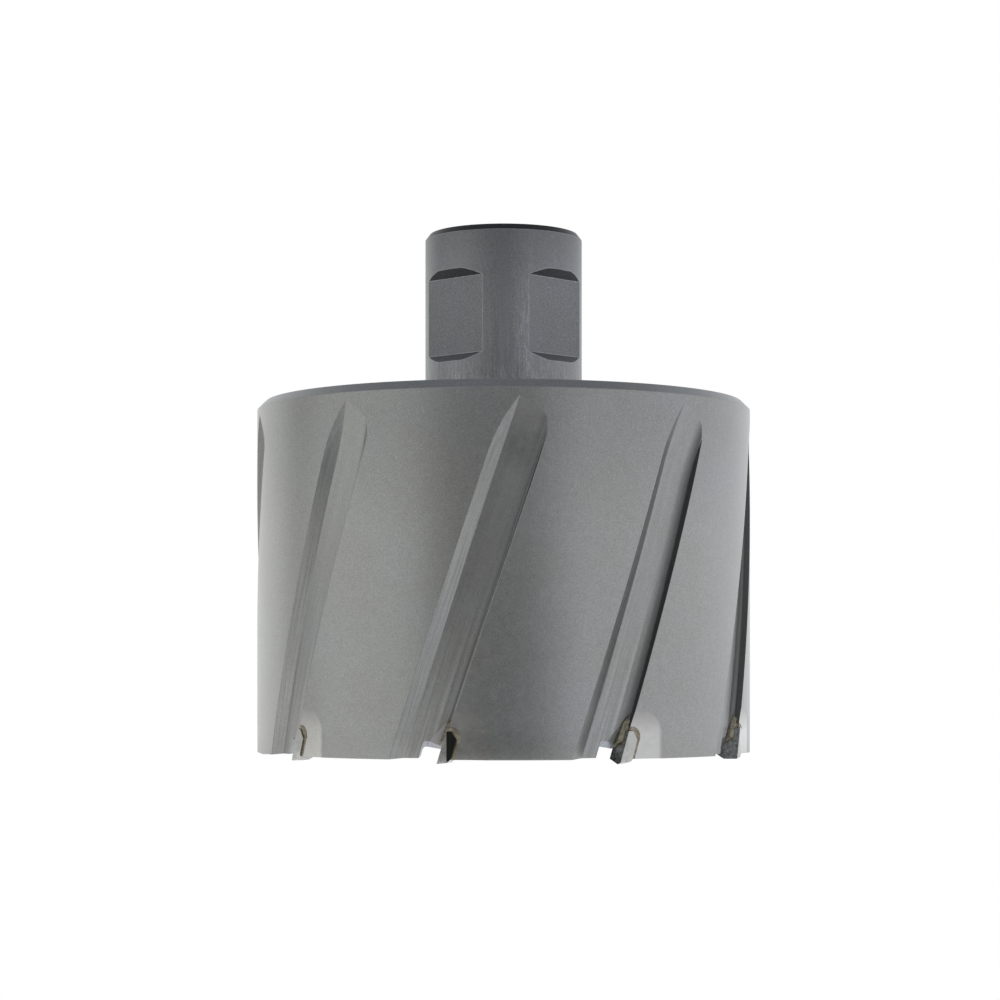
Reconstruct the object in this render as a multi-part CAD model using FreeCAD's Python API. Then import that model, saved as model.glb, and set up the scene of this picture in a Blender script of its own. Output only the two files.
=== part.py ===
import FreeCAD, Part
import math
import os

# Carbide-tipped annular cutter: a fluted steel cup with a shank, and nine brazed tips.
# Millimetres. The axis is +Z, the mouth and the tips are at the bottom, and the lowest tip points
# lie on z = 0. An angle of 0 faces -Y, and angles grow towards +X.

# Cutting ring
cutting_diameter = 100.0
tip_side_clearance = 0.2
tip_count = 9
tip_radial_width = 4.1
inner_side_clearance = 0.4
body_bottom_z = 0.95
bottom_cone_angle = 8.0

# Cup and head
shoulder_z = 71.2
shoulder_chamfer = 1.6
cavity_depth = 57.0
cavity_corner_chamfer = 3.0
cavity_mouth_chamfer = 0.3

# Shank
shank_diameter = 31.75
shank_length = 34.3
shank_seat_depth = 0.6
shank_seat_margin = 0.5
shank_chamfer = 0.9
pilot_bore_diameter = 8.0
pilot_bore_chamfer = 0.8

# Drive flats on the shank
flat_depth = 1.87
flat_length = 15.2
flat_centre_above_shoulder = 16.7
flat_ramp_height = 1.5
flat_ramp_angle = 45.0
flat_angles = (-43.5, 46.5)

# Where the turned surfaces start and end, clear of the flats
seam_angle = -103.5

# Helical flutes, with their section square across the flute
helix_angle = 18.7
flute_phase = 20.0
flute_width = 9.3
flute_depth = 1.67
lead_wall_angle = 33.0
rake_wall_tilt = 10.0
corner_radius = 2.0
ledge_height = 0.42
ledge_width = 0.28
flute_run_z = 54.2
disc_radius = 60.0
section_spacing = 9.5
run_out_angle = 17.0
run_out_steps = 5

# Carbide tips
tip_angle = 25.6
tip_lean = 17.0
tip_twist = 5.0
tip_thickness = 2.4
tip_top_z = 6.2
tip_top_width = 1.0
tip_shoulder_z = 4.55
margin_width = 1.9
outer_relief_angle = 6.0
inner_relief_angle = 4.0
end_relief_angle = 6.0
heel_width = 0.45
heel_angle = 40.0

# Cutting edges: height over the lowest point, and radial insets and rises of the two chamfers
edge_forms = (
    {"lift": 0.0, "outer_inset": 0.9, "outer_rise": 0.3, "inner_inset": 3.2, "inner_rise": 0.95},
    {"lift": 0.1, "outer_inset": 0.15, "outer_rise": 0.1, "inner_inset": 1.4, "inner_rise": 0.8},
    {"lift": 0.2, "outer_inset": 0.15, "outer_rise": 0.1, "inner_inset": 0.6, "inner_rise": 0.35},
)

# Tip seats and braze
seat_mill_radius = 1.85
seat_cover = 0.8
seat_top_offset = 0.4
seat_lean = 18.3
seat_front_gap = 0.45

# Braze drawn up the corner of the flute above a tip
run_low_z = 3.2
run_bulge_z = 7.9
run_top_z = 9.2
run_foot_width = 1.1
run_wall_height = 0.85
run_bulge_share = 0.85
run_top_share = 0.1

# Gullets ahead of the tips
gullet_width = 4.2
gullet_roof_z = 4.75
gullet_roof_fall = 10.0
gullet_roof_slope = 30.0
gullet_corner_radius = 0.7
facet_tilt = 20.0
facet_low_z = 4.9
facet_high_z = 7.3
facet_low_offset = 2.6
facet_high_offset = 1.2

# Relief ground on the body behind each tip
relief_depth = 0.26
relief_offset_angle = 5.4
relief_centre_z = 2.2
relief_height = 8.0

# How far cutting shapes reach past the surface, and the distance within which shapes touch
overcut = 2.5
touch_gap = 1e-6

# Worked out from the sizes above
tip_radius = cutting_diameter / 2
land_radius = tip_radius - tip_side_clearance
tip_inner_radius = tip_radius - tip_radial_width
cavity_radius = tip_inner_radius + inner_side_clearance
cavity_roof_z = body_bottom_z + cavity_depth
shank_radius = shank_diameter / 2
seat_radius = shank_radius + shank_seat_margin
seat_z = shoulder_z - shank_seat_depth
bore_radius = pilot_bore_diameter / 2
top_z = shoulder_z + shank_length
pitch = 360.0 / tip_count
helix_rate = math.degrees(math.tan(math.radians(helix_angle)) / land_radius)
floor_radius = land_radius - flute_depth
half_chord = flute_width / 2 / math.cos(math.radians(helix_angle))
rim_height = math.sqrt(land_radius ** 2 - half_chord ** 2) - floor_radius
rake_wall_slope = math.tan(math.radians(rake_wall_tilt))
ledge_end = flute_width / 2 - (rim_height - ledge_height) * rake_wall_slope
lean_slope = math.tan(math.radians(tip_lean))
twist_slope = math.tan(math.radians(tip_twist))

up = FreeCAD.Vector(0, 0, 1)
axis_point = FreeCAD.Vector(0, 0, 0)


def outward_at(angle):
    """Unit vector that points away from the axis at an angle."""
    turn = math.radians(angle)
    return FreeCAD.Vector(math.sin(turn), -math.cos(turn), 0)


def onward_at(angle):
    """Unit vector along the circle at an angle, the way that angles grow."""
    turn = math.radians(angle)
    return FreeCAD.Vector(math.cos(turn), math.sin(turn), 0)


def turned(shape, angle):
    """A copy of a shape turned about the cutter's axis."""
    copy = shape.copy()
    copy.rotate(axis_point, up, angle)
    return copy


def pattern(shape):
    """One copy of a shape at each tooth."""
    return [turned(shape, number * pitch) for number in range(tip_count)]


def arc_between(start, middle, end):
    return Part.Arc(start, middle, end).toShape()


def polygon_face(points):
    return Part.Face(Part.makePolygon(points + [points[0]]))


def revolved(profile):
    """A closed profile of radius and height turned about the axis."""
    outward = outward_at(seam_angle)
    points = [outward * radius + up * height for radius, height in profile]
    return polygon_face(points).revolve(axis_point, up, 360)


def turned_cup():
    """The cup and its thick end as turned, from the shoulder down, with its part of the pilot bore."""
    cone_rise = (land_radius - cavity_radius) * math.tan(math.radians(bottom_cone_angle))
    mouth_z = body_bottom_z + cone_rise
    profile = [
        (bore_radius, seat_z),
        (seat_radius, seat_z),
        (seat_radius, shoulder_z),
        (land_radius - shoulder_chamfer, shoulder_z),
        (land_radius, shoulder_z - shoulder_chamfer),
        (land_radius, body_bottom_z),
        (cavity_radius + cavity_mouth_chamfer, mouth_z),
        (cavity_radius, mouth_z + cavity_mouth_chamfer),
        (cavity_radius, cavity_roof_z - cavity_corner_chamfer),
        (cavity_radius - cavity_corner_chamfer, cavity_roof_z),
        (bore_radius + pilot_bore_chamfer, cavity_roof_z),
        (bore_radius, cavity_roof_z + pilot_bore_chamfer),
    ]
    return revolved(profile)


def turned_shank():
    """The shank as turned, from its seat in the shoulder up, with its part of the pilot bore."""
    profile = [
        (bore_radius, seat_z),
        (bore_radius, top_z - pilot_bore_chamfer),
        (bore_radius + pilot_bore_chamfer, top_z),
        (shank_radius - shank_chamfer, top_z),
        (shank_radius, top_z - shank_chamfer),
        (shank_radius, shoulder_z),
        (seat_radius, shoulder_z),
        (seat_radius, seat_z),
    ]
    return revolved(profile)


def drive_flat(angle):
    """A flat sunk into the shank for a set screw, with sloping ends, for cutting away."""
    face_distance = shank_radius - flat_depth
    ramp_run = flat_ramp_height / math.tan(math.radians(flat_ramp_angle))
    half_face = flat_length / 2
    half_length = half_face + ramp_run
    centre_z = shoulder_z + flat_centre_above_shoulder
    # Side view of the cut: distance from the axis, and height.
    outline = [
        (face_distance, centre_z - half_face),
        (face_distance + flat_ramp_height, centre_z - half_length),
        (shank_radius + overcut, centre_z - half_length),
        (shank_radius + overcut, centre_z + half_length),
        (face_distance + flat_ramp_height, centre_z + half_length),
        (face_distance, centre_z + half_face),
    ]
    points = [FreeCAD.Vector(-shank_radius, -distance, height) for distance, height in outline]
    cut = polygon_face(points).extrude(FreeCAD.Vector(shank_diameter, 0, 0))
    return turned(cut, angle)


def flute_section(place):
    """Closed outline of a flute, square across it. place turns (across, depth) into a point."""
    half_width = flute_width / 2
    lead_slope = 1 / math.tan(math.radians(lead_wall_angle))
    top = rim_height + overcut
    ledge_start = ledge_end - ledge_width
    bend = math.acos(1 - ledge_height / corner_radius)
    bend_start = ledge_start - corner_radius * math.sin(bend)
    bend_middle = bend_start + corner_radius * math.sin(bend / 2)
    lead_top = place(-half_width - overcut * lead_slope, top)
    lead_foot = place(-half_width + rim_height * lead_slope, 0)
    arc_foot = place(bend_start, 0)
    arc_middle = place(bend_middle, corner_radius * (1 - math.cos(bend / 2)))
    arc_head = place(ledge_start, ledge_height)
    wall_foot = place(ledge_end, ledge_height)
    wall_top = place(half_width + overcut * rake_wall_slope, top)
    edges = [
        Part.makeLine(lead_top, lead_foot),
        Part.makeLine(lead_foot, arc_foot),
        arc_between(arc_foot, arc_middle, arc_head),
        Part.makeLine(arc_head, wall_foot),
        Part.makeLine(wall_foot, wall_top),
        Part.makeLine(wall_top, lead_top),
    ]
    return Part.Wire(edges)


def flute_cut():
    """A helical flute that runs out as the rim of a disc cutter does, for cutting away."""
    lean = math.radians(helix_angle)

    def frame_at(height):
        angle = flute_phase + helix_rate * height
        outward = outward_at(angle)
        onward = onward_at(angle)
        along = up * math.cos(lean) + onward * math.sin(lean)
        across = onward * math.cos(lean) - up * math.sin(lean)
        return outward, along, across

    sections = []
    section_count = math.ceil((flute_run_z + overcut) / section_spacing)
    for number in range(section_count + 1):
        height = -overcut + (flute_run_z + overcut) * number / section_count
        outward, along, across = frame_at(height)
        centre = outward * floor_radius + up * height

        def place(side, depth):
            return centre + across * side + outward * depth

        sections.append(flute_section(place))

    outward, along, across = frame_at(flute_run_z)
    disc_centre = outward * (floor_radius + disc_radius) + up * flute_run_z
    for number in range(1, run_out_steps + 1):
        turn = math.radians(run_out_angle * number / run_out_steps)
        arm = along * math.sin(turn) - outward * math.cos(turn)

        def place(side, depth):
            return disc_centre + arm * (disc_radius - depth) + across * side

        sections.append(flute_section(place))
    return Part.makeLoft(sections, True, False)


def tooth_point(along, radius, height):
    """A point near the first tooth, from its rake corner at the rim: along the rim, out and up."""
    return FreeCAD.Vector(along, -radius, height)


def twisted_prism(outline_edges):
    """An outline drawn at the rim, carried square through the wall and turned by the rake twist."""
    face = Part.Face(Part.Wire(Part.__sortEdges__(outline_edges)))
    face.translate(tooth_point(0, overcut, 0))
    prism = face.extrude(tooth_point(0, -tip_radial_width - 2 * overcut, 0))
    prism.rotate(tooth_point(0, tip_radius, 0), up, tip_twist)
    return prism


def tip_outline():
    """Side outline of a tip, as seen from outside: leaning, with its upper back corner cut."""
    low_z = -overcut
    points = [
        tooth_point(low_z * lean_slope, tip_radius, low_z),
        tooth_point(low_z * lean_slope + tip_thickness, tip_radius, low_z),
        tooth_point(tip_shoulder_z * lean_slope + tip_thickness, tip_radius, tip_shoulder_z),
        tooth_point(tip_top_z * lean_slope + tip_top_width, tip_radius, tip_top_z),
        tooth_point(tip_top_z * lean_slope, tip_radius, tip_top_z),
    ]
    return Part.makePolygon(points + [points[0]]).Edges


def edge_grind(form):
    """What is ground off below a tip: two chamfers, the end relief and the heel, for cutting away."""
    lift = form["lift"]
    peak_radius = tip_radius - form["outer_inset"]
    rake_at_peak = -form["outer_inset"] * twist_slope
    inner_start = tip_inner_radius + form["inner_inset"]
    outer_slope = form["outer_rise"] / form["outer_inset"]
    inner_slope = form["inner_rise"] / form["inner_inset"]
    relief_slope = math.tan(math.radians(end_relief_angle))
    back = tip_thickness + overcut
    depth = -2 * overcut
    profile = [
        (tip_radius + overcut, lift + outer_slope * (form["outer_inset"] + overcut)),
        (peak_radius, lift),
        (inner_start, lift),
        (tip_inner_radius - overcut, lift + inner_slope * (form["inner_inset"] + overcut)),
        (tip_inner_radius - overcut, depth),
        (tip_radius + overcut, depth),
    ]
    if inner_start >= peak_radius:
        profile.remove((inner_start, lift))
    start = rake_at_peak - overcut
    drop = overcut * relief_slope
    points = [tooth_point(start, radius, height - drop) for radius, height in profile]
    grind = polygon_face(points).extrude(tooth_point(back - start, 0, (back - start) * relief_slope))
    heel_start = tip_thickness - heel_width
    heel_z = lift + (heel_start - rake_at_peak) * relief_slope
    heel_rise = (back - heel_start) * math.tan(math.radians(heel_angle))
    heel_points = [
        tooth_point(heel_start, tip_radius + overcut, heel_z),
        tooth_point(back, tip_radius + overcut, heel_z + heel_rise),
        tooth_point(back, tip_radius + overcut, depth),
        tooth_point(heel_start, tip_radius + overcut, depth),
    ]
    heel = polygon_face(heel_points).extrude(tooth_point(0, -tip_radial_width - 2 * overcut, 0))
    return grind.fuse(heel)


def side_grind(radius, offset, relief_angle, outwards):
    """A relief plane along the tip's outer or inner side, from a line along the axis, to cut away."""
    slope = math.tan(math.radians(relief_angle))
    sign = 1 if outwards else -1
    reach = tip_thickness + 2 * overcut
    points = [
        tooth_point(offset, radius, -overcut),
        tooth_point(offset + reach, radius - sign * reach * slope, -overcut),
        tooth_point(offset + reach, radius + sign * overcut, -overcut),
        tooth_point(offset, radius + sign * overcut, -overcut),
    ]
    return polygon_face(points).extrude(up * (tip_top_z + 2 * overcut))


def carbide_tip(form):
    """A brazed tip, ground on its outer side, inner side and cutting edge."""
    height = tip_top_z + 2 * overcut
    outer_limit = Part.makeCylinder(tip_radius, height, tooth_point(0, 0, -overcut))
    inner_limit = Part.makeCylinder(tip_inner_radius, height, tooth_point(0, 0, -overcut))
    prism = twisted_prism(tip_outline())
    inner_corner = -tip_radial_width * twist_slope
    grinds = [
        inner_limit,
        side_grind(tip_radius, margin_width, outer_relief_angle, True),
        side_grind(tip_inner_radius, inner_corner, inner_relief_angle, False),
        edge_grind(form),
    ]
    return prism.common(outer_limit).cut(grinds).removeSplitter().Solids[0]


def seat_outline():
    """Outline of the seat milled for a tip: straight sides, and a round top over the tip."""
    centre_z = tip_top_z + seat_cover - seat_mill_radius
    centre_along = tip_top_z * lean_slope + tip_top_width / 2 + seat_top_offset
    seat_slope = math.tan(math.radians(seat_lean))
    # The back wall leaves the round top along its tangent.
    normal_length = math.hypot(1, seat_slope)
    back_top_along = centre_along + seat_mill_radius / normal_length
    back_top_z = centre_z - seat_mill_radius * seat_slope / normal_length
    # The front wall stands a gap ahead of the rake face and meets the round top.
    low_z = -overcut
    front_low = low_z * lean_slope - seat_front_gap
    shift = -seat_front_gap - centre_along
    half_b = shift * lean_slope - centre_z
    factor = 1 + lean_slope ** 2
    rest = shift ** 2 + centre_z ** 2 - seat_mill_radius ** 2
    front_top_z = (-half_b + math.sqrt(half_b ** 2 - factor * rest)) / factor
    front_top_along = front_top_z * lean_slope - seat_front_gap
    back_low = back_top_along - (back_top_z - low_z) * seat_slope
    crown_turn = math.radians(45)
    crown_along = centre_along + seat_mill_radius * math.sin(crown_turn)
    crown_z = centre_z + seat_mill_radius * math.cos(crown_turn)
    points = [
        tooth_point(back_top_along, tip_radius, back_top_z),
        tooth_point(back_low, tip_radius, low_z),
        tooth_point(front_low, tip_radius, low_z),
        tooth_point(front_top_along, tip_radius, front_top_z),
    ]
    crown = tooth_point(crown_along, tip_radius, crown_z)
    return Part.makePolygon(points).Edges + [arc_between(points[3], crown, points[0])]


def gullet_cut():
    """A slot through the wall ahead of a tip, with a roof that falls inwards, for cutting away."""
    rake_at_floor = -(tip_radius - floor_radius) * twist_slope
    fall = math.tan(math.radians(gullet_roof_fall))
    slope = math.tan(math.radians(gullet_roof_slope))
    low_z = -2 * overcut
    right = rake_at_floor + tip_thickness / 2
    left = rake_at_floor - gullet_width

    def roof_corner(start):
        height = (gullet_roof_z - fall * (start - left)) / (1 + fall * lean_slope)
        return tooth_point(start + height * lean_slope, floor_radius, height)

    corner = roof_corner(left)
    points = [
        tooth_point(left + low_z * lean_slope, floor_radius, low_z),
        tooth_point(right + low_z * lean_slope, floor_radius, low_z),
        roof_corner(right),
        corner,
    ]
    # One step outwards along the rake plane that also climbs with the roof.
    step = tooth_point(twist_slope + lean_slope * slope, 1, slope)
    face = polygon_face(points)
    face.translate(step * overcut)
    slot = face.extrude(step * -(floor_radius - tip_inner_radius + 2 * overcut))
    rounded = [edge for edge in slot.Edges if passes_through(edge, corner)]
    return slot.makeFillet(gullet_corner_radius, rounded)


def passes_through(edge, point):
    """Whether an edge runs through a point."""
    return edge.distToShape(Part.Vertex(point))[0] < touch_gap


def facet_cut():
    """A sloping facet from the flute's floor down to the gullet's roof, for cutting away."""
    rake_at_floor = -(tip_radius - floor_radius) * twist_slope
    low_along = rake_at_floor + facet_low_z * lean_slope - facet_low_offset
    high_along = rake_at_floor + facet_high_z * lean_slope - facet_high_offset
    low = tooth_point(low_along, floor_radius, facet_low_z)
    high = tooth_point(high_along, floor_radius, facet_high_z)
    outward = tooth_point(0, 1, 0)
    line = (high - low).normalize()
    aside = line.cross(outward).normalize()
    tilt = math.radians(facet_tilt)
    downhill = aside * math.cos(tilt) - outward * math.sin(tilt)
    reach = 2 * overcut
    start = low - line * reach
    end = high + line * reach
    corners = [start, end, end + downhill * reach, start + downhill * reach]
    slab = polygon_face(corners).extrude(outward * reach)
    # Only what lies ahead of the rake plane is cut.
    rake_low = tooth_point(rake_at_floor - reach * lean_slope, floor_radius, -reach)
    rake_high = rake_low + tooth_point(lean_slope, 0, 1) * (facet_high_z + 2 * reach)
    ahead = tooth_point(-2 * reach, 0, 0)
    guard = polygon_face([rake_low, rake_high, rake_high + ahead, rake_low + ahead])
    step = tooth_point(twist_slope, 1, 0)
    guard.translate(step * -reach)
    return slab.common(guard.extrude(step * (2 * reach)))


def relief_cut():
    """The rim of a grinding wheel that leaves a shallow oval behind a tip, for cutting away."""
    wheel_radius = relief_height ** 2 / (2 * relief_depth)
    length = tip_radius
    start = tooth_point(-length / 2, land_radius - relief_depth + wheel_radius, relief_centre_z)
    wheel = Part.makeCylinder(wheel_radius, length, start, FreeCAD.Vector(1, 0, 0))
    return turned(wheel, tip_angle + relief_offset_angle)


def rake_wall_foot(height, aside, out):
    """A point by the foot of the flute's rake wall: along the rim from it, and out from the floor."""
    lean = math.radians(helix_angle)
    radius = floor_radius + ledge_height
    section_z = height + ledge_end * math.sin(lean)
    turn = math.degrees((ledge_end * math.cos(lean) + aside) / radius)
    angle = flute_phase + helix_rate * section_z + turn
    return outward_at(angle) * (floor_radius + out) + up * height


def braze_run():
    """Outline of the braze in the corner of floor and rake wall, tapered upwards, body included."""
    low_out = floor_radius - land_radius
    sections = []
    for height, share in ((run_low_z, 1), (run_bulge_z, run_bulge_share), (run_top_z, run_top_share)):
        wall_out = ledge_height + run_wall_height * share
        points = [
            rake_wall_foot(height, run_foot_width, low_out),
            rake_wall_foot(height, -run_foot_width * share, low_out),
            rake_wall_foot(height, -run_foot_width * share, ledge_height / 2),
            rake_wall_foot(height, wall_out * rake_wall_slope, wall_out),
        ]
        sections.append(Part.makePolygon(points + [points[0]]))
    return Part.makeLoft(sections, True, True)


def main():
    os.makedirs("parts", exist_ok=True)
    flute = flute_cut()
    facet = turned(facet_cut(), tip_angle)
    gullet = turned(gullet_cut(), tip_angle)
    seat = turned(twisted_prism(seat_outline()), tip_angle)
    tips = [turned(carbide_tip(form), tip_angle) for form in edge_forms]

    shank = turned_shank().cut([drive_flat(angle) for angle in flat_angles])
    shank.exportStep("parts/drive_shank.step")

    milled = turned_cup()
    for cut in (flute, relief_cut(), facet, gullet):
        milled = milled.cut(pattern(cut))
    body = milled.cut(pattern(seat)).Solids[0]
    body.exportStep("parts/cutter_body.step")

    seam = milled.common(seat).cut(tips[0]).Solids[0]
    run = max(braze_run().cut([milled, gullet, tips[0]]).Solids, key=lambda solid: solid.Volume)
    braze = seam.fuse(run).removeSplitter().Solids[0]
    for number in range(tip_count):
        angle = number * pitch
        tip = turned(tips[number % len(tips)], angle)
        tip.exportStep(f"parts/carbide_tip_{number + 1}.step")
        turned(braze, angle).exportStep(f"parts/braze_seam_{number + 1}.step")


main()
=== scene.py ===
import math

import bmesh
import bpy
import numpy as np
from bpy.props import FloatProperty, FloatVectorProperty, IntProperty, PointerProperty
from bpy.types import Operator, Panel, PropertyGroup
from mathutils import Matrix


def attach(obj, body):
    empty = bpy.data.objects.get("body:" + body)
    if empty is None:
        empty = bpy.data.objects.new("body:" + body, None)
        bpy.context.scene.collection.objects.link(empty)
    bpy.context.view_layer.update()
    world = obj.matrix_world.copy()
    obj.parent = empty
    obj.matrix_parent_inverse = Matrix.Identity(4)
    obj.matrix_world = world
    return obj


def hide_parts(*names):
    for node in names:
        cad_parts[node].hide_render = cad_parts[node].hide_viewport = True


bl_info = {
    "name": "Annular cutter",
    "version": (1, 0, 0),
    "blender": (4, 5, 0),
    "location": "3D View > Sidebar > Cutter",
    "description": "Dresses the annular cutter: fluted cup, drive shank, carbide tips and braze",
    "category": "Object",
}

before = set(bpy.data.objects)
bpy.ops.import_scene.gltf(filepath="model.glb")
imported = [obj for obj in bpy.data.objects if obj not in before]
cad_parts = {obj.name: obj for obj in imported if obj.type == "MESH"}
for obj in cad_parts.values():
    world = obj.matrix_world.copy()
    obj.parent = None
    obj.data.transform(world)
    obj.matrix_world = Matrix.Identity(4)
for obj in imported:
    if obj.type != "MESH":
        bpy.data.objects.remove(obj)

# Angles are in degrees and sizes in millimetres while shapes are worked out. An angle of 0 faces -Y
# and angles grow towards +X. The mesh is written in metres. Counts of rows and columns stand where a
# grid is made.
METRE = 0.001
TEETH = 9
PITCH = 360 / TEETH

# Finishes of the cup, the shank and the tips, in the order of their material slots. A cap is dropped.
LAND, MILLED, LEAD_WALL, LEDGE, RAKE_WALL, GROUND, FACET, ROOF, TURNED, SEAT, CAP = range(11)
SHANK_WALL, SHANK_END, SHANK_PLAIN, SHANK_FLAT = range(4)
TIP_MARGIN, TIP_RAKE, TIP_POLISHED = range(3)

# Cup, from its mouth up. Tips stand proud of the lands, and the flutes' floor lies below the lands.
TIP_RADIUS = 50.0
TIP_PROUD = 0.2
FLUTE_DEPTH = 1.67
FLOOR_RADIUS = TIP_RADIUS - TIP_PROUD - FLUTE_DEPTH
TIP_INNER_RADIUS = 45.9
CAVITY_RADIUS = 46.3
BOTTOM_Z = 0.95
CONE_RISE = 0.492
MOUTH_CHAMFER = 0.3
ROOF_Z = 57.95
ROOF_CHAMFER = 3.0
SHOULDER_CHAMFER = 1.6
BORE_CHAMFER = 0.8
DECK_RADII = (40.0, 28.0)
CAVITY_MIDDLE = 34.0
SHANK_SEAT = 0.6
SHANK_MARGIN = 0.5
BLOCK_TOP = 12.0

# Shank: its two flats with ramps at their ends, the columns of its grid, and its rows nearest to the ends
FLAT_ANGLES = (-43.5, 46.5)
FLAT_MIDDLE = 16.7
FLAT_HALF = 7.6
FLAT_RAMP = 1.5
FLAT_COLUMNS = 29
BETWEEN_COLUMNS = 26
REST_COLUMNS = 110
END_ROW = 0.6
SHANK_CHAMFER = 0.9
SHANK_CHAMFER_RISE = 1.15

# Flute section, square across the flute
FLUTE_ANGLE = 20.0
LEAD_WALL_ANGLE = 33.0
RAKE_WALL_TILT = 10.0
LEDGE_HEIGHT = 0.42
LEDGE_WIDTH = 0.28
FOOT_RADIUS = 2.0
WALL_REACH = 0.3
RUN_OUT_Z = 54.2
DISC_RADIUS = 60.0
LONGEST_ARC = math.radians(17)

# Tooth, from its rake corner at the rim. The facet's ends are given by height and distance ahead of the rake.
TIP_ANGLE = 25.6
TIP_LEAN = 17.0
TIP_TWIST = 5.0
RELIEF_ANGLE = 6.0
MARGIN_WIDTH = 1.95
TIP_THICKNESS = 2.4
TIP_TOP_Z = 6.2
TIP_TOP_WIDTH = 1.0
SEAT_RADIUS = 1.85
SEAT_COVER = 0.8
SEAT_SHIFT = 0.4
SEAT_LEAN = 18.3
SEAT_FRONT_GAP = 0.45
GULLET_WIDTH = 4.2
GULLET_ROOF_Z = 4.75
GULLET_FALL = 10.0
GULLET_SLOPE = 30.0
GULLET_FILLET = 0.7
FACET_TILT = 20.0
FACET_ENDS = ((4.9, 2.6), (7.3, 1.2))
RELIEF_DEPTH = 0.26
RELIEF_TURN = 5.4
RELIEF_BEND = 5.5
RELIEF_TOP = 10.2
RELIEF_REACH = 12.0
RELIEF_PAST = 3.0
CUT_PAST = 2.5

# Gap under which points merge: in a sector, in grids and in prisms, and in a CAD node's mesh in metres
SECTOR_GAP = 2e-3
GRID_GAP = 1e-4
PRISM_GAP = 1e-5
NODE_GAP = 1e-6

# Uneven swell of the braze: number of sines and their length in metres
WAVES = 12
WAVE_LENGTH = 0.0004

# Brown stain in the flutes' corners, across the flute and upwards
STAIN_MIDDLE = 4.3
STAIN_WIDTH = 1.5
STAIN_TOP = 10.5
STAIN_BOTTOM = 2.0

# Angles between faces, in degrees: where shading breaks on steel and on tips, where tips are bevelled,
# and up to which a CAD node's faces are joined
STEEL_BREAK = 9.0
TIP_BREAK = 2.5
TIP_BEVEL = 12.0
JOIN_ANGLE = 0.5

# Least cosine between a tip's face and the rake's or the relief's direction
RAKE_FACING = 0.97
RELIEF_FACING = 0.9999

# Finishes of the steel: scales of noise, with the mottle's as a share of the grain's, swing of the
# roughness, depth of the bumps, and tints of the clouds
MOTTLE_SHARE = 0.2
CLOUD_SCALE = 60
SPECK_SCALE = 2600
ROUGH_SWING = 0.015
GRAIN_RISE = 0.0003
STREAK_RISE = 10
WARM = (1.01, 1.0, 0.98)
COOL = (0.99, 1.0, 1.02)

# Places of the masks in metres: painted shade in the flutes' corners, weaker on the cutter's left side,
# shallow grinding, and scuffs on the shank with a band of painted highlight beside its right flat
CORNER_SHADE_LEAD = 0.0008
CORNER_SHADE_LEFT = (-0.026, -0.018)
SHALLOW = (0.0001, 0.00001)
SCUFF_HEIGHTS = (0.0712, 0.0785)
BAND_LEFT = (0.0018, 0.0034)
BAND_RIGHT = (0.0052, 0.0062)
BAND_HEIGHTS = (0.08, 0.102)
HONED_WIDTH = 0.00025
# Colour of the painted shade on the rake's honed edges
HONED_SHADE = (0.02, 0.02, 0.02)

# Floor, in metres, and what its diffuse share lacks of white
FLOOR_REACH = 0.09
FLOOR_FRONT = 0.057
FLOOR_LACK = 1.1

# Camera: width of its sensor in millimetres, and its shifts as shares of that
CAMERA_SENSOR = 36
CAMERA_SHIFTS = (-0.0036, 0.1598)


def slope(angle):
    return math.tan(math.radians(angle))


def place(radius, angle, height):
    """Points from radius, angle and height: (radius sin angle, -radius cos angle, height)."""
    turn = np.radians(angle)
    return np.stack(np.broadcast_arrays(radius * np.sin(turn), -radius * np.cos(turn), height), axis=-1)


def turned(points, angle):
    """Points turned about the cutter's axis."""
    turn = math.radians(angle)
    cosine, sine = math.cos(turn), math.sin(turn)
    x, y, z = points[..., 0], points[..., 1], points[..., 2]
    return np.stack((x * cosine - y * sine, x * sine + y * cosine, z), axis=-1)


def tooth(along, radius, height):
    """Points near the tooth: along the rim from its rake corner, out from the axis, and up."""
    return np.stack(np.broadcast_arrays(along, -np.asarray(radius, float), height), axis=-1)


def arc_points(centre, radius, start, end, count):
    """Points on an arc of the plane: centre + radius (cos a, sin a), with a from start to end."""
    angles = np.radians(np.linspace(start, end, count))
    return np.stack((centre[0] + radius * np.cos(angles), centre[1] + radius * np.sin(angles)), axis=-1)


def ring(turn, *profile):
    """A grid that carries a profile of (radius, height) round the axis."""
    radii, heights = np.array(profile).T
    return place(radii[:, None], turn, heights[:, None])


def grid_arrays(patches):
    """Vertices, quads and finishes of grids of points: one quad for each cell of each grid."""
    vertices, quads, finishes = [], [], []
    start = 0
    for points, finish in patches:
        rows, columns = points.shape[:2]
        index = start + np.arange(rows * columns).reshape(rows, columns)
        cells = np.stack((index[:-1, :-1], index[:-1, 1:], index[1:, 1:], index[1:, :-1]), axis=-1)
        quads.append(cells.reshape(-1, 4))
        finishes.append(np.broadcast_to(finish, (rows - 1, columns - 1)).ravel())
        vertices.append(points.reshape(-1, 3))
        start += rows * columns
    return np.concatenate(vertices), np.concatenate(quads).tolist(), np.concatenate(finishes)


def mesh_of(name, vertices, faces, finishes=None):
    mesh = bpy.data.meshes.new(name)
    mesh.from_pydata(vertices, [], faces)
    if finishes is not None:
        mesh.polygons.foreach_set("material_index", np.asarray(finishes, dtype=np.int32))
    mesh.update()
    return mesh


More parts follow.
